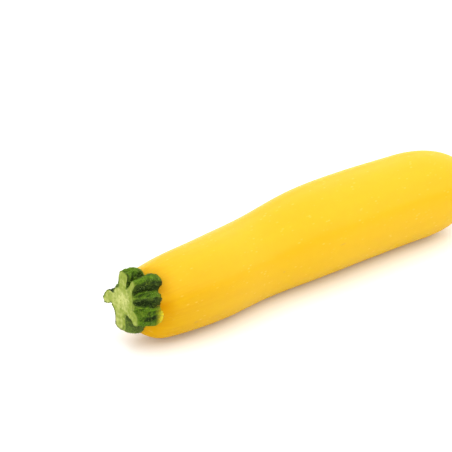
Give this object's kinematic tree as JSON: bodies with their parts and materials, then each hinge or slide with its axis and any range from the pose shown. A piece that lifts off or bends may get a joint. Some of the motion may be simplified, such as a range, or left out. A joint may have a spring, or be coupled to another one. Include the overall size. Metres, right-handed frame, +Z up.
{
  "type": "yellow zucchini",
  "caption": "Whole yellow zucchini lying on its belly: a long, slightly bent, smooth waxy fruit with a green cut stalk whose ridges spread over its shoulder as rounded toes.",
  "frame": {"origin": "on the surface it rests on, under the middle of its bounding box", "axes": "+X along the fruit from the cut stalk to the blossom end, +Z up from the surface it rests on"},
  "size_m": [0.1968, 0.0444, 0.0407],
  "materials": {
    "skin": "smooth waxy yellow skin with a satin gloss",
    "stem_rind": "ridged, finely bristled dark green rind, with a pale green cut face"
  },
  "bodies": {
    "root": {"fruit": "skin", "stem": "stem_rind"}
  },
  "joints": []
}
